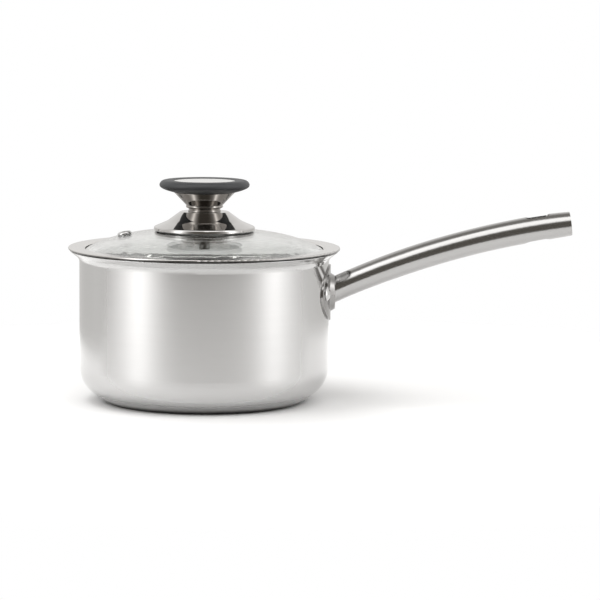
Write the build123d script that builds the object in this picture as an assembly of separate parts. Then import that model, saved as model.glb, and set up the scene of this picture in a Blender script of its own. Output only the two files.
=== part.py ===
from build123d import *
import os
from math import asin, atan, cos, degrees, radians, sin, sqrt, tan

# A small lidded saucepan with one long handle, in millimetres.
# The origin is the centre of the underside, +Z is up and +X runs out along the handle.

# Pan shell
inner_diameter = 160.0
wall = 0.7
pan_height = 98.2
corner_radius = 20.0
lip_overhang = 6.1
lip_slope = 38.0
lip_bend_radius = 5.0
lip_edge_round = 0.25

# Bonded base under the shell: an aluminium disc held in a thin steel cap
core_thickness = 2.0
cap_thickness = 0.5
cap_inset = 8.2
cap_edge_slope = 35.0
cap_bend_radius = 3.5

# Handle bracket: an oval pressing on the wall with a raised boss
bracket_thickness = 1.2
bracket_height = 36.2
bracket_lip_gap = 1.344
bracket_rim = 3.7
bracket_edge_round = 0.35
boss_rise = 2.9
boss_foot_width = 26.0
boss_foot_height = 27.4
boss_face_width = 20.4
boss_face_height = 21.6
boss_edge_round = 1.2
boss_foot_round = 1.0

# Rivets through the bracket and the wall
rivet_diameter = 5.0
rivet_boss_gap = 1.2
rivet_rise = 1.1
rivet_head_diameter = 9.2
rivet_head_height = 2.3
rivet_head_edge = 0.4
rivet_tail_diameter = 9.0
rivet_tail_height = 1.3
rivet_clearance = 0.05

# Handle tube: a shallow arc that rises from the boss and levels out
tube_root_diameter = 16.4
tube_belly_diameter = 16.8
tube_end_diameter = 15.4
tube_wall = 1.0
tube_root_rise = 2.1
tube_root_slope = 24.4
tube_bend_radius = 540.0
tube_length = 158.5
hang_slot_length = 16.4
hang_slot_width = 8.2
hang_slot_setback = 21.7
end_cap_thickness = 1.4
end_cap_crown = 0.5
end_cap_clearance = 0.05

# Lid: a domed glass in a rolled steel band
lid_gap = 0.3
band_sheet = 0.5
band_height = 1.6
band_overhang = 1.0
glass_rim_drop = 2.0
band_ledge_width = 1.5
band_lip_width = 2.0
band_collar_play = 0.5
band_hem_round_share = 0.4375
band_collar_round = 1.0
glass_clearance = 0.1
glass_thickness = 4.0
glass_crown_height = 13.76
glass_crown_share = 0.38
glass_rim_round = 1.2
glass_hole_diameter = 8.0

# Steam vent in the glass
vent_setback = 27.4
vent_bore_diameter = 3.4
vent_tube_wall = 0.7
vent_flange_diameter = 9.2
vent_flange_height = 1.5
vent_tail_diameter = 7.6
vent_tail_height = 0.9
vent_gasket_thickness = 0.5
vent_clearance = 0.1

# Knob: a spun skirt, a stem with a cone, a soft grip ring and a bare inlay disc
skirt_sheet = 0.6
skirt_diameter = 65.2
skirt_height = 12.65
skirt_top_diameter = 31.2
skirt_waist_diameter = 47.8
skirt_waist_height = 6.55
skirt_bead_height = 2.75
skirt_bead_round = 1.0
skirt_curl = 1.8
skirt_waist_round = 14.0
skirt_shoulder_round = 1.0
stem_wall = 0.8
stem_edge_round = 0.2
neck_diameter = 21.2
neck_groove_depth = 0.45
collar_rim = 1.4
neck_height = 2.4
collar_height = 1.6
cone_flare = 7.9
cone_height = 8.4
grip_rim = 9.3
grip_height = 7.85
grip_seat = 2.1
inlay_seat = 2.0
inlay_thickness = 1.0
inlay_recess = 0.35
inlay_crown = 0.3
knob_clearance = 0.05

# Knob fasteners
screw_diameter = 4.0
screw_head_diameter = 7.0
screw_head_height = 2.4
screw_drive_diameter = 3.2
screw_drive_depth = 1.5
screw_engagement = 7.0
insert_diameter = 7.0
insert_length = 10.0
insert_thread_clearance = 0.05
washer_diameter = 13.0
washer_thickness = 0.8
screw_gasket_diameter = 14.0
screw_gasket_thickness = 0.8

# Worked out from the sizes above
inner_radius = inner_diameter / 2
outer_radius = inner_radius + wall
floor_underside = cap_thickness + core_thickness
lip_radius = outer_radius + lip_overhang
lip_end_height = pan_height - wall * cos(radians(lip_slope))
lip_knee_height = lip_end_height - lip_overhang * tan(radians(lip_slope))
lip_start_height = lip_knee_height - lip_bend_radius * tan(radians(90 - lip_slope) / 2)
bracket_radius = outer_radius + bracket_thickness
bracket_centre_height = lip_start_height - bracket_lip_gap - bracket_height / 2
boss_face = bracket_radius + boss_rise
rivet_spread = boss_foot_width + rivet_head_diameter + 2 * (boss_foot_round + rivet_boss_gap)
bracket_width = rivet_spread + rivet_head_diameter + 2 * bracket_rim
tube_root_height = bracket_centre_height + tube_root_rise
band_bottom = pan_height + lid_gap
band_top = band_bottom + band_height
band_radius = lip_radius + band_overhang
band_hem_round = band_hem_round_share * band_height
collar_radius = inner_radius - band_collar_play
glass_radius = collar_radius - band_sheet - glass_clearance
vent_radius = glass_radius - vent_setback
glass_rim_top = band_top - glass_rim_drop - band_sheet - glass_clearance
collar_diameter = neck_diameter + 2 * collar_rim
cone_top_diameter = collar_diameter + 2 * cone_flare
grip_bore_diameter = cone_top_diameter - 2 * grip_seat
inlay_diameter = grip_bore_diameter + 2 * inlay_seat
grip_diameter = inlay_diameter + 2 * grip_rim


def left_of(points, gap):
    """The same bent line moved sideways by a gap, to the left of its direction."""
    spots = [Vector(*point) for point in points]
    ways = [(b - a).normalized() for a, b in zip(spots, spots[1:])]
    sides = [Vector(-way.Y, way.X) for way in ways]
    moved = [spots[0] + sides[0] * gap]
    for spot, before, after in zip(spots[1:-1], sides, sides[1:]):
        moved.append(spot + (before + after) * (gap / (1 + before.dot(after))))
    moved.append(spots[-1] + sides[-1] * gap)
    return [(spot.X, spot.Y) for spot in moved]


def bent_sheet(points, radii, thickness):
    """Section of a bent sheet: the line given, and its copy one thickness to its left."""
    spots = [Vector(*point) for point in points]
    ways = [b - a for a, b in zip(spots, spots[1:])]
    inner_radii = []
    for radius, before, after in zip(radii, ways, ways[1:]):
        turns_left = before.X * after.Y - before.Y * after.X > 0
        inner_radii.append(radius - thickness if turns_left else radius + thickness)
    far_points = left_of(points, thickness)
    near = FilletPolyline(*points, radius=radii)
    far = FilletPolyline(*far_points, radius=inner_radii)
    ends = [Line(points[0], far_points[0]), Line(points[-1], far_points[-1])]
    return make_face(near.edges() + far.edges() + ends)


def turned(section):
    """A section drawn as radius and height, turned about the upright axis."""
    return revolve(Plane.XZ * section, Axis.Z)


def outline(*points):
    return make_face(Polyline(*points, close=True))


def dome_arc(radius, edge_height, top_height):
    """Arc from the rim of a shallow dome to its top on the axis."""
    rise = top_height - edge_height
    ball_radius = (radius**2 + rise**2) / (2 * rise)
    half_turn = asin(radius / ball_radius) / 2
    middle = (ball_radius * sin(half_turn), top_height - ball_radius + ball_radius * cos(half_turn))
    return ThreePointArc((radius, edge_height), middle, (0, top_height))


def glass_top(radius):
    """Height of the glass's upper face: flat in the middle, steeper towards the rim."""
    share = radius / glass_radius
    drop = glass_crown_share * share**2 + (1 - glass_crown_share) * share**4
    return glass_rim_top + glass_crown_height * (1 - drop)


def glass_slope(radius):
    """Angle by which the glass falls away from level, in radians."""
    share = radius / glass_radius
    fall = 2 * glass_crown_share * share + 4 * (1 - glass_crown_share) * share**3
    return atan(fall * glass_crown_height / glass_radius)


# Pan and base

shell_line = [
    (0, floor_underside),
    (outer_radius, floor_underside),
    (outer_radius, lip_knee_height),
    (lip_radius, lip_end_height),
]


def shell_plug():
    """Everything inside the shell's outer face, as a section."""
    line = FilletPolyline(*shell_line, radius=[corner_radius, lip_bend_radius])
    lid = Polyline((lip_radius, lip_end_height), (0, lip_end_height), (0, floor_underside))
    return make_face(line.edges() + lid.edges())


def rivet_places():
    """The two rivets, each as a place on the axis of its hole, pointing outwards."""
    azimuth = degrees(asin(rivet_spread / 2 / outer_radius))
    for side in (-1, 1):
        yield Rot(0, 0, side * azimuth) * Pos(0, 0, bracket_centre_height + rivet_rise) * Rot(0, 90, 0)


def drill_rivets(body):
    hole = extrude(Circle(rivet_diameter / 2 + rivet_clearance), bracket_radius + rivet_head_height)
    for place in rivet_places():
        body -= place * hole
    return body


def pan_shell():
    shell = turned(bent_sheet(shell_line, [corner_radius, lip_bend_radius], wall))
    lip_edges = shell.edges().filter_by(GeomType.CIRCLE).sort_by(Axis.Z)[-2:]
    return drill_rivets(fillet(lip_edges, lip_edge_round))


cap_edge_radius = outer_radius - cap_inset
bend_offset = cap_edge_radius - (outer_radius - corner_radius)
cap_edge_height = floor_underside + corner_radius - sqrt(corner_radius**2 - bend_offset**2)
cap_foot_radius = cap_edge_radius - cap_edge_height / tan(radians(cap_edge_slope))
cap_line = [(0, 0), (cap_foot_radius, 0), (cap_edge_radius, cap_edge_height)]


def base_cap():
    return turned(bent_sheet(cap_line, [cap_bend_radius], cap_thickness) - shell_plug())


def base_core():
    inside = left_of(cap_line, cap_thickness)
    top_height = inside[-1][1]
    line = FilletPolyline(*inside, radius=cap_bend_radius - cap_thickness)
    lid = Polyline(inside[-1], (0, top_height), inside[0])
    return turned(make_face(line.edges() + lid.edges()) - shell_plug())


# Handle

def oval_bar(width, height, start, end):
    """An oval bar along +X between two distances from the pan's axis."""
    place = Plane.YZ.offset(start) * Pos(0, bracket_centre_height)
    return extrude(place * Ellipse(width / 2, height / 2), end - start)


def boss(inset):
    """The raised boss, or with an inset the hollow behind it."""
    foot = sqrt(outer_radius**2 - (boss_foot_width / 2) ** 2) - inset
    sections = []
    for distance, width, height in (
        (foot, boss_foot_width, boss_foot_height),
        (boss_face - inset, boss_face_width, boss_face_height),
    ):
        place = Plane.YZ.offset(distance) * Pos(0, bracket_centre_height)
        sections.append(place * Ellipse(width / 2 - inset, height / 2 - inset))
    return loft(sections)


def handle_bracket():
    tall = Pos(0, 0, bracket_centre_height) * Cylinder(bracket_radius, bracket_height)
    plate = oval_bar(bracket_width, bracket_height, 0, bracket_radius) & tall
    face = plate.faces().filter_by(GeomType.CYLINDER).sort_by(Axis.X)[-1]
    plate = fillet(face.edges(), bracket_edge_round)
    raised = boss(0)
    raised = fillet(raised.faces().sort_by(Axis.X)[-1].edges(), boss_edge_round)
    body = plate + raised
    body = fillet(new_edges(plate, raised, combined=body), boss_foot_round)
    body -= boss(bracket_thickness)
    body -= Pos(0, 0, bracket_centre_height) * Cylinder(outer_radius, 2 * bracket_height)
    return drill_rivets(body)


def handle_rivets():
    head_radius = rivet_head_diameter / 2
    tail_radius = rivet_tail_diameter / 2
    radius = rivet_diameter / 2
    seat = sqrt(inner_radius**2 - tail_radius**2)
    section = make_face(
        Polyline(
            (0, bracket_radius + rivet_head_height),
            (0, seat - rivet_tail_height),
            (tail_radius, seat - rivet_tail_height),
            (tail_radius, seat),
            (radius, seat),
            (radius, bracket_radius),
            (head_radius, bracket_radius),
            (head_radius, bracket_radius + rivet_head_edge),
        ).edges()
        + [dome_arc(head_radius, bracket_radius + rivet_head_edge, bracket_radius + rivet_head_height)]
    )
    return [place * turned(section) for place in rivet_places()]


def tube_place(distance):
    """Place on the tube's centre line, a distance along it from the boss, facing along it."""
    start = radians(tube_root_slope)
    slope = start - distance / tube_bend_radius
    x = boss_face + tube_bend_radius * (sin(start) - sin(slope))
    z = tube_root_height + tube_bend_radius * (cos(slope) - cos(start))
    return Plane(origin=(x, 0, z), x_dir=(0, 1, 0), z_dir=(cos(slope), 0, sin(slope)))


tube_shares = (-0.05, 0.25, 0.5, 0.75, 0.88, 1)


def tube_radius(share):
    """Radius of the tube: it swells a little, then narrows past the hanging slot."""
    slot_share = 1 - hang_slot_setback / tube_length
    if share > slot_share:
        narrowing = (share - slot_share) / (1 - slot_share)
        return (tube_belly_diameter + narrowing * (tube_end_diameter - tube_belly_diameter)) / 2
    swelling = min(share / slot_share * 2, 1)
    return (tube_root_diameter + swelling * (tube_belly_diameter - tube_root_diameter)) / 2


def tube_core(inset):
    sections = []
    for share in tube_shares:
        sections.append(tube_place(share * tube_length) * Circle(tube_radius(share) - inset))
    return loft(sections)


def handle_tube():
    slot_centre = tube_place(tube_length - hang_slot_setback).origin
    slot = Pos(slot_centre.X, 0, slot_centre.Z) * extrude(
        SlotOverall(hang_slot_length, hang_slot_width), tube_belly_diameter, both=True
    )
    reach = tube_belly_diameter
    behind_face = Pos(boss_face - reach / 2, 0, tube_root_height) * Box(reach, 2 * reach, 4 * reach)
    return tube_core(0) - tube_core(tube_wall) - slot - behind_face


def handle_end_cap():
    radius = tube_end_diameter / 2 - tube_wall - end_cap_clearance
    edge = end_cap_thickness - end_cap_crown
    sides = Polyline((0, end_cap_thickness), (0, 0), (radius, 0), (radius, edge))
    section = make_face(sides.edges() + [dome_arc(radius, edge, end_cap_thickness)])
    seat = tube_place(tube_length - end_cap_thickness)
    return seat.location * turned(section)


# Lid

def lid_glass():
    steps = 6
    radii = [glass_radius * step / steps for step in range(steps + 1)]
    top_points = [(radius, glass_top(radius)) for radius in radii]
    under_points = [(radius, height - glass_thickness) for radius, height in top_points]
    rim_slope = glass_slope(glass_radius)
    tangents = [(1, 0), (cos(rim_slope), -sin(rim_slope))]
    section = make_face([
        Spline(*top_points, tangents=tangents),
        Line(top_points[-1], under_points[-1]),
        Spline(*under_points, tangents=tangents),
        Line(under_points[0], top_points[0]),
    ])
    rim_corners = section.vertices().sort_by(Axis.X)[-2:]
    glass = turned(fillet(rim_corners, glass_rim_round))
    glass -= Pos(0, 0, glass_top(0)) * Cylinder(glass_hole_diameter / 2, 3 * glass_thickness)
    vent_hole_radius = vent_bore_diameter / 2 + vent_tube_wall + vent_clearance
    return glass - vent_place() * Cylinder(vent_hole_radius, 3 * glass_thickness)


def lid_rim_band():
    ledge_radius = glass_radius - band_lip_width
    under = glass_top(glass_radius) - glass_thickness - glass_clearance
    lip_slope_down = glass_slope(glass_radius)
    lip_thickness = band_sheet / cos(lip_slope_down)
    tip_under = glass_top(ledge_radius) - glass_thickness - glass_clearance - lip_thickness
    foot = tip_under - (collar_radius - ledge_radius) * tan(lip_slope_down)
    points = [
        (ledge_radius, tip_under),
        (collar_radius, foot),
        (collar_radius, band_bottom),
        (band_radius, band_bottom),
        (band_radius, band_top),
        (ledge_radius + band_ledge_width, band_top),
        (ledge_radius, glass_top(ledge_radius) + glass_clearance + band_sheet),
    ]
    radii = [band_collar_round, band_sheet, band_hem_round, band_hem_round, band_collar_round]
    return turned(bent_sheet(points, radii, band_sheet))


def vent_place():
    """Place on the glass's upper face at the steam vent, facing straight out of the glass."""
    tilt = degrees(glass_slope(vent_radius))
    return Pos(-vent_radius, 0, glass_top(vent_radius)) * Rot(0, -tilt, 0)


def vent_eyelet():
    bore = vent_bore_diameter / 2
    tube = bore + vent_tube_wall
    flange = vent_flange_diameter / 2
    tail = vent_tail_diameter / 2
    seat = vent_clearance + vent_gasket_thickness
    crest = seat + vent_flange_height
    under = -glass_thickness - vent_clearance
    section = make_face([
        *Polyline(
            (bore, under - vent_tail_height),
            (tail, under - vent_tail_height),
            (tail, under),
            (tube, under),
            (tube, seat),
            (flange, seat),
        ).edges(),
        ThreePointArc((flange, seat), ((flange + bore) / 2, crest), (bore, seat)),
        Line((bore, seat), (bore, under - vent_tail_height)),
    ])
    return vent_place() * turned(section)


def vent_gasket():
    bore = vent_bore_diameter / 2 + vent_tube_wall + vent_clearance
    ring = Circle(vent_flange_diameter / 2 - vent_clearance) - Circle(bore)
    return vent_place() * Pos(0, 0, vent_clearance) * extrude(ring, vent_gasket_thickness)


# Knob

skirt_radius = skirt_diameter / 2
skirt_foot = glass_top(skirt_radius - skirt_curl) + knob_clearance
skirt_top = skirt_foot + skirt_height
neck_foot = skirt_top + knob_clearance
cone_foot = neck_foot + neck_height + collar_height
cone_top = cone_foot + cone_height
grip_foot = cone_top + knob_clearance
grip_top = grip_foot + grip_height
inlay_foot = grip_top - inlay_recess - inlay_thickness
screw_radius = screw_diameter / 2
insert_radius = insert_diameter / 2
insert_foot = neck_foot + stem_wall + knob_clearance
core_bore = insert_radius + knob_clearance


def knob_skirt():
    waist = skirt_waist_diameter / 2
    points = [
        (skirt_radius - skirt_curl, skirt_foot),
        (skirt_radius, skirt_foot),
        (skirt_radius, skirt_foot + skirt_bead_height),
        (waist, skirt_foot + skirt_waist_height),
        (skirt_top_diameter / 2, skirt_top),
        (screw_radius + knob_clearance, skirt_top),
    ]
    radii = [skirt_bead_round, skirt_bead_round, skirt_waist_round, skirt_shoulder_round]
    return turned(bent_sheet(points, radii, skirt_sheet))


def knob_stem():
    bore = screw_radius + knob_clearance
    neck = neck_diameter / 2
    groove = neck - neck_groove_depth
    collar = collar_diameter / 2
    cone = cone_top_diameter / 2
    hollow = groove - stem_wall
    collar_foot = neck_foot + neck_height
    cone_wall = stem_wall * sqrt(2)
    hollow_top = cone_top - (cone - cone_wall - hollow) * cone_height / (cone - collar)
    section = outline(
        (bore, neck_foot),
        (neck, neck_foot),
        (neck, neck_foot + neck_height / 3),
        (groove, neck_foot + neck_height / 2),
        (groove, neck_foot + neck_height * 2 / 3),
        (collar - neck_groove_depth, collar_foot),
        (collar, collar_foot + collar_height / 3),
        (collar, cone_foot - collar_height / 3),
        (collar - neck_groove_depth / 2, cone_foot),
        (cone, cone_top),
        (cone - cone_wall, cone_top),
        (hollow, hollow_top),
        (hollow, neck_foot + stem_wall),
        (bore, neck_foot + stem_wall),
    )
    return turned(fillet(section.vertices(), stem_edge_round))


def knob_core():
    groove = neck_diameter / 2 - neck_groove_depth
    hollow = groove - stem_wall
    collar = collar_diameter / 2
    cone = cone_top_diameter / 2
    cone_wall = stem_wall * sqrt(2)
    hollow_top = cone_top - (cone - cone_wall - hollow) * cone_height / (cone - collar)
    shoulder = grip_bore_diameter / 2
    return turned(outline(
        (core_bore, insert_foot),
        (hollow - knob_clearance, insert_foot),
        (hollow - knob_clearance, hollow_top),
        (cone - cone_wall - knob_clearance, cone_top),
        (shoulder - knob_clearance, grip_foot),
        (shoulder - knob_clearance, inlay_foot - knob_clearance),
        (0, inlay_foot - knob_clearance),
        (0, insert_foot + insert_length + knob_clearance),
        (core_bore, insert_foot + insert_length + knob_clearance),
    ))


def knob_insert():
    bore = screw_radius + insert_thread_clearance
    ring = Circle(insert_radius) - Circle(bore)
    return Pos(0, 0, insert_foot) * extrude(ring, insert_length)


# The grip's rounded outline, from its underside out to the widest point and back over the top to
# the inlay: shares of the way from the inlay's recess out to the widest point, and of its height.
grip_outline_shares = ((0.63, 0.215), (1, 0.59), (0.88, 0.87), (0.53, 1), (0, 0.955))


def knob_grip():
    bore = grip_bore_diameter / 2
    recess = inlay_diameter / 2 + knob_clearance
    reach = grip_diameter / 2 - recess
    points = [(cone_top_diameter / 2, grip_foot)]
    for reach_share, height_share in grip_outline_shares:
        points.append((recess + reach_share * reach, grip_foot + height_share * grip_height))
    recess_line = Polyline(points[-1], (recess, inlay_foot), (bore, inlay_foot))
    bore_line = Polyline((bore, inlay_foot), (bore, grip_foot), points[0])
    return turned(make_face([Spline(*points)] + recess_line.edges() + bore_line.edges()))


def knob_inlay():
    radius = inlay_diameter / 2
    edge = inlay_thickness - inlay_crown
    sides = Polyline((0, inlay_thickness), (0, 0), (radius, 0), (radius, edge))
    section = make_face(sides.edges() + [dome_arc(radius, edge, inlay_thickness)])
    return Pos(0, 0, inlay_foot) * turned(section)


# Knob fasteners, from the glass's underside down

gasket_radius = screw_gasket_diameter / 2
gasket_top = glass_top(gasket_radius) - glass_thickness - knob_clearance
gasket_foot = gasket_top - screw_gasket_thickness
washer_foot = gasket_foot - washer_thickness
screw_clear = screw_radius + knob_clearance


def screw_gasket():
    sleeve = glass_hole_diameter / 2 - knob_clearance
    return turned(outline(
        (screw_clear, gasket_foot),
        (gasket_radius, gasket_foot),
        (gasket_radius, gasket_top),
        (sleeve, gasket_top),
        (sleeve, glass_top(0)),
        (screw_clear, glass_top(0)),
    ))


def screw_washer():
    ring = Circle(washer_diameter / 2) - Circle(screw_clear)
    return Pos(0, 0, washer_foot) * extrude(ring, washer_thickness)


def knob_screw():
    head_foot = washer_foot - screw_head_height
    head_radius = screw_head_diameter / 2
    tip = insert_foot + screw_engagement
    head = Pos(0, 0, head_foot) * extrude(Circle(head_radius), screw_head_height)
    head = fillet(head.edges().sort_by(Axis.Z)[0], screw_head_height / 3)
    slot_width = screw_drive_diameter / 4
    for turn in (0, 90):
        cross = Rot(0, 0, turn) * Box(screw_drive_diameter, slot_width, screw_drive_depth)
        head -= Pos(0, 0, head_foot + screw_drive_depth / 2) * cross
    shank = Pos(0, 0, washer_foot) * extrude(Circle(screw_radius), tip - washer_foot)
    return head + shank


nodes = {
    "pan_shell": pan_shell,
    "base_core": base_core,
    "base_cap": base_cap,
    "handle_bracket": handle_bracket,
    "handle_tube": handle_tube,
    "handle_end_cap": handle_end_cap,
    "handle_rivets": handle_rivets,
    "lid_glass": lid_glass,
    "lid_rim_band": lid_rim_band,
    "vent_eyelet": vent_eyelet,
    "vent_gasket": vent_gasket,
    "knob_skirt": knob_skirt,
    "knob_stem": knob_stem,
    "knob_core": knob_core,
    "knob_insert": knob_insert,
    "knob_grip": knob_grip,
    "knob_inlay": knob_inlay,
    "screw_gasket": screw_gasket,
    "screw_washer": screw_washer,
    "knob_screw": knob_screw,
}

os.makedirs("parts", exist_ok=True)
for name, make in nodes.items():
    made = make()
    pieces = made if isinstance(made, list) else [made]
    solids = [solid for piece in pieces for solid in piece.solids()]
    export_step(Compound(children=solids), f"parts/{name}.step")
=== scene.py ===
from math import cos, radians, sin

import bmesh
import bpy
from mathutils import Matrix, Vector

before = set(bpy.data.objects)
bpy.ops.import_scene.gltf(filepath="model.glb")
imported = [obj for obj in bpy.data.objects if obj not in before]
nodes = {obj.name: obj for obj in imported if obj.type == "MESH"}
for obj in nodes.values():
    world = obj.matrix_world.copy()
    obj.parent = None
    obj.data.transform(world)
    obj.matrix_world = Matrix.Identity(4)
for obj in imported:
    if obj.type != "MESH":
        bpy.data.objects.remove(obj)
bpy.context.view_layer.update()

MM = 0.001

# Camera, fitted to the photograph: a long lens, a little above the pan, looking along +Y
IMAGE_SIDE = 600
SENSOR_WIDTH = 36
FOCAL_PIXELS = 2873
CAMERA_PLACE = Vector((62.1, -1850, 281.2)) * MM
CAMERA_PITCH = 6.645
CAMERA_ROLL = 0.4

# Floor: a round white table that fades into the white surround
FLOOR_CENTRE = Vector((60, 0, 0)) * MM
FLOOR_RADIUS = 460 * MM
FLOOR_SIDES = 96
FLOOR_FADE = (300 * MM, 450 * MM)
FLOOR_WHITE = 0.88

# Top light
TOP_LIGHT_PLACE = Vector((-250, 60, 1000)) * MM
TOP_LIGHT_SIZE = 600 * MM
TOP_LIGHT_POWER = 3.8

# Surround: a dim studio with white softboxes, seen in reflections and through the glass. To the camera it is
# plain white.
# Angles in degrees: azimuth from the camera's side towards +X, elevation above the horizon.
SIDE_BOXES = (
    # azimuth, spread towards the camera, spread away from it, strength
    (-60, 10, 12, 2.8),
    (67, 7, 11, 2.9),
)
SIDE_BOX_ELEVATIONS = (-34, -12, 50, 80)
# The light of the side boxes sets in between these azimuths, so it leaves a gap at the camera
SIDE_BOX_GAP = (18, 44)
FRONT_BOX_AZIMUTHS = (38, 62)
FRONT_BOX_ELEVATIONS = (31, 44, 70, 84)
FRONT_BOX_STRENGTH = 1.8
CEILING_ELEVATIONS = (50, 80)
CEILING_BRIGHTNESS = 0.15
# The back wall brightens from its foot, falls to a share of its light at its top, and fades out between these
# depths, towards the camera
BACK_WALL_FOOT = (-5, 15)
BACK_WALL_FOOT_BRIGHTNESS = 0.5
BACK_WALL_BRIGHTNESS = 0.75
BACK_WALL_TOP = (30, 70)
BACK_WALL_TOP_SHARE = 0.2
BACK_WALL_DEPTHS = (-0.4, 0.5)
STUDIO_DARK = (0.14, 0.129, 0.113, 1)

# Turned metal: rings to a metre and changes round a turn, for the fine rings and the broad tone
FINE_GRAIN = (9000, 1.5)
BROAD_GRAIN = (500, 2.0)
FINE_DETAIL = 3.0
GLOSS_SPREAD = 0.1
# How far a surface turns from the eye, from 0 to 1, while it goes over to its edge roughness
EDGE_FACING = (0.25, 0.5)
QUARTER_TURN = 0.25

# Handle tube: the arc of its centre line, from the boss outwards
TUBE_BEND_RADIUS = 540 * MM
TUBE_ROOT_SLOPE = radians(24.4)
TUBE_ROOT = Vector((84.8, 0, 73.1)) * MM
ARC_CENTRE_X = TUBE_ROOT.x + TUBE_BEND_RADIUS * sin(TUBE_ROOT_SLOPE)
ARC_CENTRE_Z = TUBE_ROOT.z - TUBE_BEND_RADIUS * cos(TUBE_ROOT_SLOPE)

# Brushed lines: changes to a metre along the tube and across it
BRUSH_ALONG = 60.0
BRUSH_ACROSS = 5000.0
BRUSH_DARKER = 0.85
BRUSH_GLOSS_SPREAD = 0.15

# Painted shade on edges, a dark colour in place of shadow: on the lid band's hem for the gap under it,
# and round the base's foot for its contact with the table. Numbers: the heights between which the painted
# shade fades out upwards, its share at the lower one, and how far from the axis it starts
HEM_PAINTED_SHADE = (99.0 * MM, 99.6 * MM, 0.92, 85 * MM)
FOOT_PAINTED_SHADE = (0.5 * MM, 3.5 * MM, 0.9, 55 * MM)
PAINTED_SHADE_FADE = 1 * MM
PAINTED_SHADE_COLOUR = (0.035, 0.032, 0.028, 1)

# Glass: where it turns from clear to its ground edge, under the band, and its haze
GROUND_GLASS_REACH = (76.0 * MM, 78.0 * MM)
GROUND_GLASS_ROUGHNESS = 0.5
GLASS_TINTS = ((0.95, 0.97, 0.96, 1), (0.97, 0.98, 0.97, 1))
GLASS_TINT_SCALE = 30.0
GLASS_HAZE = 0.02
GLASS_HAZE_SCALE = 400.0
GLASS_INDEX = 1.5

# Mouldings
SOFT_CLOUD_SCALE = 90.0
SOFT_DARKER = 0.8
SOFT_ROUGHNESS = 0.5


class Graph:
    """Adds nodes to a node tree and joins them."""

    def __init__(self, tree):
        self.tree = tree
        tree.nodes.clear()

    def add(self, kind, settings=None, **inputs):
        """Adds a node. An input is named by its socket's name, or by _ and its number."""
        node = self.tree.nodes.new("ShaderNode" + kind)
        for name, value in (settings or {}).items():
            setattr(node, name, value)
        for name, value in inputs.items():
            place = int(name[1:]) if name[1:].isdigit() else name
            self.put(node.inputs[place], value)
        return node

    def put(self, socket, value):
        if isinstance(value, bpy.types.NodeSocket):
            self.tree.links.new(value, socket)
        else:
            socket.default_value = value

    def math(self, operation, *values):
        node = self.add("Math", {"operation": operation})
        for socket, value in zip(node.inputs, values):
            self.put(socket, value)
        return node.outputs[0]

    def times(self, first, second):
        return self.math("MULTIPLY", first, second)

    def vector(self, x, y, z):
        return self.add("CombineXYZ", X=x, Y=y, Z=z).outputs[0]

    def split(self, vector):
        return self.add("SeparateXYZ", Vector=vector).outputs[:3]

    def smooth(self, value, low, high, out_low=0.0, out_high=1.0):
        """Smooth step of a value from low to high."""
        node = self.add("MapRange", {"interpolation_type": "SMOOTHSTEP"}, Value=value)
        names = ("From Min", "From Max", "To Min", "To Max")
        for name, number in zip(names, (low, high, out_low, out_high)):
            node.inputs[name].default_value = number
        return node.outputs[0]

    def smooth_angle(self, angle, limits, out_low=0.0, out_high=1.0):
        """Smooth step of an angle between two limits in degrees."""
        return self.smooth(angle, *map(radians, limits), out_low, out_high)

    def band(self, angle, limits):
        """1 between the two middle limits, in degrees, falling to 0 at the outer ones."""
        first, second, third, fourth = limits
        rise = self.smooth_angle(angle, (first, second))
        fall = self.smooth_angle(angle, (fourth, third))
        return self.times(rise, fall)

    def scaled(self, value, low, high):
        """A value from 0 to 1 turned into one from low to high."""
        node = self.add("MapRange", Value=value)
        node.inputs["To Min"].default_value = low
        node.inputs["To Max"].default_value = high
        return node.outputs[0]

    def around(self, value, middle, spread):
        """A value from 0 to 1 turned into one round a middle, with a spread that is a share of it."""
        return self.scaled(value, middle * (1 - spread), middle * (1 + spread))

    def noise(self, vector, scale, detail=2.0):
        return self.add("TexNoise", Vector=vector, Scale=scale, Detail=detail, Roughness=0.5).outputs[0]

    def mix(self, share, first, second):
        node = self.add("Mix", {"data_type": "RGBA"})
        for place, value in ((0, share), (6, first), (7, second)):
            self.put(node.inputs[place], value)
        return node.outputs[2]


def grey(value, warmth=0.0):
    """A neutral colour, or with warmth a slightly yellower one."""
    return (value * (1 + warmth), value, value * (1 - warmth), 1)


def darker(colour, share):
    return tuple(part * share for part in colour[:3]) + (1,)


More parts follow.
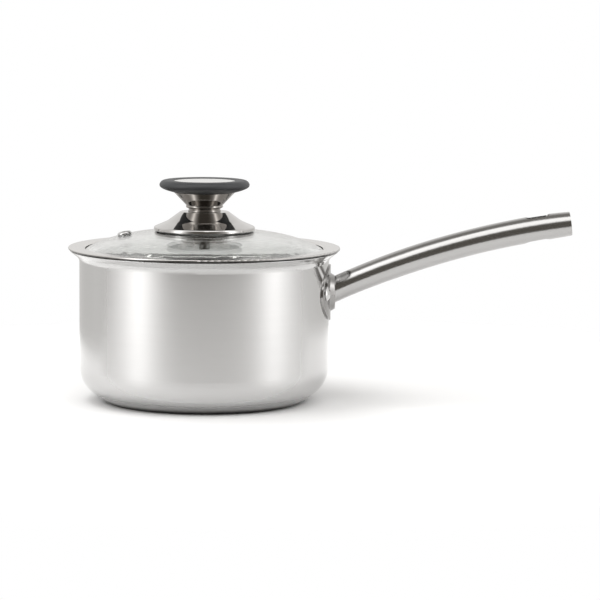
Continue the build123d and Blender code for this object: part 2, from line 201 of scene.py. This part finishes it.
def studio_light(graph):
    """Brightness of the studio's boxes, ceiling and back wall in a direction."""
    x, y, z = graph.split(graph.add("TexCoord").outputs["Generated"])
    azimuth = graph.math("ARCTAN2", x, graph.times(y, -1.0))
    sideways = graph.math("ABSOLUTE", azimuth)
    elevation = graph.math("ARCSINE", z)
    ceiling = graph.smooth_angle(elevation, CEILING_ELEVATIONS, 0.0, CEILING_BRIGHTNESS)
    wall = graph.smooth_angle(elevation, BACK_WALL_FOOT, BACK_WALL_FOOT_BRIGHTNESS, BACK_WALL_BRIGHTNESS)
    wall_top = graph.smooth_angle(elevation, BACK_WALL_TOP, 1.0, BACK_WALL_TOP_SHARE)
    wall = graph.times(graph.times(wall, wall_top), graph.smooth(y, *BACK_WALL_DEPTHS))
    light = graph.math("MAXIMUM", ceiling, wall)
    gap = graph.smooth_angle(sideways, SIDE_BOX_GAP)
    height = graph.times(graph.band(elevation, SIDE_BOX_ELEVATIONS), gap)
    for side, near_spread, far_spread, strength in SIDE_BOXES:
        off = graph.math("DEGREES", graph.math("SUBTRACT", azimuth, radians(side)))
        if side < 0:
            off = graph.times(off, -1.0)
        far = graph.math("DIVIDE", off, far_spread)
        near = graph.math("DIVIDE", off, -near_spread)
        spread = graph.math("MAXIMUM", far, near)
        lobe = graph.math("DIVIDE", strength, graph.math("MULTIPLY_ADD", spread, spread, 1.0))
        light = graph.math("MULTIPLY_ADD", lobe, height, light)
    across = graph.smooth_angle(sideways, tuple(reversed(FRONT_BOX_AZIMUTHS)))
    front = graph.times(across, graph.band(elevation, FRONT_BOX_ELEVATIONS))
    return graph.math("MULTIPLY_ADD", front, FRONT_BOX_STRENGTH, light)


def make_world():
    world = bpy.data.worlds.new("studio")
    bpy.context.scene.world = world
    world.use_nodes = True
    graph = Graph(world.node_tree)
    boxes = graph.add("Background", Color=studio_light(graph))
    room = graph.add("Background", Color=STUDIO_DARK)
    studio = graph.add("AddShader", _0=boxes.outputs[0], _1=room.outputs[0])
    plain = graph.add("Background", Color=grey(1.0))
    to_camera = graph.add("LightPath").outputs["Is Camera Ray"]
    shader = graph.add("MixShader", _0=to_camera, _1=studio.outputs[0], _2=plain.outputs[0])
    graph.add("OutputWorld", Surface=shader.outputs[0])


def make_floor():
    mesh = bpy.data.meshes.new("floor")
    rim = bmesh.new()
    bmesh.ops.create_circle(rim, cap_ends=True, segments=FLOOR_SIDES, radius=FLOOR_RADIUS)
    rim.to_mesh(mesh)
    rim.free()
    floor = bpy.data.objects.new("floor", mesh)
    floor.location = FLOOR_CENTRE
    bpy.context.scene.collection.objects.link(floor)
    material = bpy.data.materials.new("white table")
    material.use_nodes = True
    graph = Graph(material.node_tree)
    place = graph.add("TexCoord").outputs["Object"]
    reach = graph.add("VectorMath", {"operation": "LENGTH"}, _0=place).outputs["Value"]
    fade = graph.smooth(reach, *FLOOR_FADE)
    white = graph.add("BsdfDiffuse", Color=grey(FLOOR_WHITE))
    clear = graph.add("BsdfTransparent")
    shader = graph.add("MixShader", _0=fade, _1=white.outputs[0], _2=clear.outputs[0])
    graph.add("OutputMaterial", Surface=shader.outputs[0])
    mesh.materials.append(material)


def make_top_light():
    """A soft light overhead, a little to the left, that shapes the shadow and isn't mirrored by the metal."""
    light = bpy.data.objects.new("top light", bpy.data.lights.new("top light", "AREA"))
    bpy.context.scene.collection.objects.link(light)
    light.data.shape = "DISK"
    light.data.size = TOP_LIGHT_SIZE
    light.data.energy = TOP_LIGHT_POWER
    light.location = TOP_LIGHT_PLACE
    light.rotation_euler = (-TOP_LIGHT_PLACE).to_track_quat("-Z", "Y").to_euler()
    light.visible_glossy = False
    light.visible_transmission = False


def make_camera():
    camera = bpy.data.objects.new("camera", bpy.data.cameras.new("camera"))
    bpy.context.scene.collection.objects.link(camera)
    camera.data.sensor_width = SENSOR_WIDTH
    camera.data.lens = FOCAL_PIXELS / IMAGE_SIDE * SENSOR_WIDTH
    pitch = Matrix.Rotation(radians(90 - CAMERA_PITCH), 4, "X")
    roll = Matrix.Rotation(radians(CAMERA_ROLL), 4, "Z")
    camera.matrix_world = Matrix.Translation(CAMERA_PLACE) @ pitch @ roll
    bpy.context.scene.camera = camera


def around_axis(graph):
    """Object coordinates split round the upright axis: cosine, sine, distance from the axis and height."""
    x, y, z = graph.split(graph.add("TexCoord").outputs["Object"])
    reach = graph.math("SQRT", graph.math("ADD", graph.times(x, x), graph.times(y, y)))
    safe = graph.math("MAXIMUM", reach, 0.001 * MM)
    return graph.math("DIVIDE", x, safe), graph.math("DIVIDE", y, safe), reach, z


def turned_grain(graph, rings, runs):
    """Coordinates for noise in rings round the upright axis, as a lathe or a polishing wheel leaves them."""
    cosine, sine, reach, height = around_axis(graph)
    travel = graph.times(graph.math("ADD", height, reach), rings)
    return graph.vector(graph.times(cosine, runs), graph.times(sine, runs), travel)


def new_material(name):
    material = bpy.data.materials.new(name)
    material.use_nodes = True
    graph = Graph(material.node_tree)
    shader = graph.add("BsdfPrincipled")
    graph.add("OutputMaterial", Surface=shader.outputs[0])
    return material, graph, shader


def make_metallic(shader, anisotropy):
    shader.inputs["Metallic"].default_value = 1
    shader.inputs["Anisotropic"].default_value = anisotropy
    shader.inputs["Anisotropic Rotation"].default_value = QUARTER_TURN


def join(graph, shader, tone, gloss, relief, depth):
    """Gives the shader its colour and roughness, and a relief so many metres deep."""
    bump = graph.add("Bump", Strength=1.0, Distance=depth, Height=relief)
    graph.put(shader.inputs["Base Color"], tone)
    graph.put(shader.inputs["Roughness"], gloss)
    graph.put(shader.inputs["Normal"], bump.outputs[0])


def turned_metal(name, colour, roughness, anisotropy, grain, depth, edge_roughness=None, painted_shade=None):
    """Metal finished on a lathe: fine rings, a sheen that spreads across them and a little tone variation.
    With an edge roughness, it mirrors more clearly where it is seen at a glancing angle. Given a painted
    shade,
    it paints shade towards an edge: a darker colour in place of the shadow there."""
    material, graph, shader = new_material(name)
    make_metallic(shader, anisotropy)
    fine = graph.noise(turned_grain(graph, *FINE_GRAIN), 1.0, FINE_DETAIL)
    broad = graph.noise(turned_grain(graph, *BROAD_GRAIN), 1.0)
    tone = graph.mix(broad, colour, darker(colour, 1 - grain))
    # Painted shade: a dark colour mixed in towards an edge, in place of the shadow there
    if painted_shade is not None:
        low, high, share, inner = painted_shade
        reach, height = around_axis(graph)[2:]
        painted_shade_reach = graph.smooth(reach, inner, inner + PAINTED_SHADE_FADE)
        painted_shade_share = graph.times(graph.smooth(height, low, high, share, 0.0), painted_shade_reach)
        tone = graph.mix(painted_shade_share, tone, PAINTED_SHADE_COLOUR)
    gloss = graph.around(fine, roughness, GLOSS_SPREAD)
    if edge_roughness is not None:
        facing = graph.add("LayerWeight", Blend=0.5).outputs["Facing"]
        gloss = graph.times(gloss, graph.smooth(facing, *EDGE_FACING, 1.0, edge_roughness / roughness))
    if anisotropy:
        tangent = graph.add("Tangent", {"direction_type": "RADIAL", "axis": "Z"})
        graph.put(shader.inputs["Tangent"], tangent.outputs[0])
    join(graph, shader, tone, gloss, fine, depth)
    return material


def brushed_tube_metal(name, colour, roughness, anisotropy, depth):
    """Metal brushed along the handle: the lines follow the tube's arc."""
    material, graph, shader = new_material(name)
    make_metallic(shader, anisotropy)
    x, y, z = graph.split(graph.add("TexCoord").outputs["Object"])
    share = graph.math("DIVIDE", graph.math("SUBTRACT", ARC_CENTRE_X, x), TUBE_BEND_RADIUS)
    level = graph.math("SQRT", graph.math("SUBTRACT", 1.0, graph.times(share, share)))
    axis_height = graph.math("ADD", ARC_CENTRE_Z, graph.times(level, TUBE_BEND_RADIUS))
    off_axis = graph.math("SUBTRACT", z, axis_height)
    across = (graph.times(y, BRUSH_ACROSS), graph.times(off_axis, BRUSH_ACROSS))
    fine = graph.noise(graph.vector(graph.times(x, BRUSH_ALONG), *across), 1.0, FINE_DETAIL)
    graph.put(shader.inputs["Tangent"], graph.vector(level, 0.0, share))
    tone = graph.mix(fine, colour, darker(colour, BRUSH_DARKER))
    gloss = graph.around(fine, roughness, BRUSH_GLOSS_SPREAD)
    join(graph, shader, tone, gloss, fine, depth)
    return material


def glass_material():
    material, graph, shader = new_material("clear glass")
    place = graph.add("TexCoord").outputs["Object"]
    shader.inputs["Transmission Weight"].default_value = 1
    shader.inputs["IOR"].default_value = GLASS_INDEX
    tint = graph.mix(graph.noise(place, GLASS_TINT_SCALE), *GLASS_TINTS)
    graph.put(shader.inputs["Base Color"], tint)
    reach = around_axis(graph)[2]
    ground = graph.smooth(reach, *GROUND_GLASS_REACH, 0.0, GROUND_GLASS_ROUGHNESS)
    haze = graph.scaled(graph.noise(place, GLASS_HAZE_SCALE), 0.0, GLASS_HAZE)
    graph.put(shader.inputs["Roughness"], graph.math("ADD", haze, ground))
    return material


def soft_material(name, colour, grain_scale, depth):
    """Moulded silicone or plastic: matt, with a fine grain."""
    material, graph, shader = new_material(name)
    place = graph.add("TexCoord").outputs["Object"]
    grain = graph.noise(place, grain_scale, FINE_DETAIL)
    cloud = graph.noise(place, SOFT_CLOUD_SCALE)
    tone = graph.mix(cloud, colour, darker(colour, SOFT_DARKER))
    gloss = graph.around(grain, SOFT_ROUGHNESS, GLOSS_SPREAD)
    join(graph, shader, tone, gloss, grain, depth)
    return material


def dress(node, material):
    mesh = nodes[node].data
    mesh.materials.clear()
    mesh.materials.append(material)


make_world()
make_floor()
make_top_light()
make_camera()
bpy.context.scene.view_settings.view_transform = "Standard"

STEEL = grey(0.63, 0.006)
SCREW_STEEL = grey(0.8, 0.02)
BRASS = (0.8, 0.6, 0.3, 1)
GASKET = grey(0.5)

# Finishes. A metal's numbers are its roughness, its anisotropy, a turned one's tone variation and the depth
# of its relief; a moulding's are its grain's scale and the depth of its relief.
wall = turned_metal("polished wall", grey(0.66, 0.006), 0.444, 0.63, 0.03, 0.0005 * MM, edge_roughness=0.12)
dress("pan_shell", wall)
# The base's foot gets painted shade, in place of the contact shadow at the table
dress("base_cap", turned_metal("base steel with painted shade", STEEL, 0.35, 0.8, 0.05, 0.001 * MM, painted_shade=FOOT_PAINTED_SHADE))
dress("base_core", turned_metal("aluminium", grey(0.8), 0.35, 0.5, 0.05, 0.001 * MM))
dress("handle_bracket", turned_metal("bracket steel", grey(0.34, 0.02), 0.16, 0.0, 0.05, 0.0003 * MM))
dress("handle_rivets", turned_metal("rivet steel", STEEL, 0.15, 0.0, 0.05, 0.0003 * MM))
dress("handle_tube", brushed_tube_metal("brushed tube", grey(0.52, 0.012), 0.17, 0.4, 0.002 * MM))
dress("handle_end_cap", brushed_tube_metal("end cap steel", STEEL, 0.3, 0.0, 0.001 * MM))
dress("lid_glass", glass_material())
# The band's hem gets painted shade, in place of the shadow in the gap under it
band = turned_metal("band steel with painted shade", grey(0.68, 0.02), 0.12, 0.0, 0.03, 0.0002 * MM, painted_shade=HEM_PAINTED_SHADE)
dress("lid_rim_band", band)
dress("vent_eyelet", turned_metal("vent steel", STEEL, 0.15, 0.0, 0.03, 0.0005 * MM))
dress("knob_skirt", turned_metal("mirror skirt", grey(0.57, 0.02), 0.06, 0.0, 0.03, 0.0002 * MM))
dress("knob_stem", turned_metal("mirror stem", grey(0.33, 0.06), 0.06, 0.0, 0.03, 0.0002 * MM))
dress("knob_inlay", turned_metal("inlay steel", grey(0.93), 0.35, 0.0, 0.05, 0.001 * MM))
dress("knob_insert", turned_metal("brass", BRASS, 0.3, 0.0, 0.05, 0.001 * MM))
dress("knob_screw", turned_metal("screw steel", SCREW_STEEL, 0.4, 0.0, 0.05, 0.001 * MM))
dress("screw_washer", turned_metal("washer steel", SCREW_STEEL, 0.4, 0.0, 0.05, 0.001 * MM))
dress("knob_grip", soft_material("grip silicone", (0.038, 0.04, 0.043, 1), 2500.0, 0.02 * MM))
dress("knob_core", soft_material("core plastic", grey(0.03), 1500.0, 0.02 * MM))
dress("vent_gasket", soft_material("vent silicone", GASKET, 1500.0, 0.01 * MM))
dress("screw_gasket", soft_material("gasket silicone", GASKET, 1500.0, 0.01 * MM))
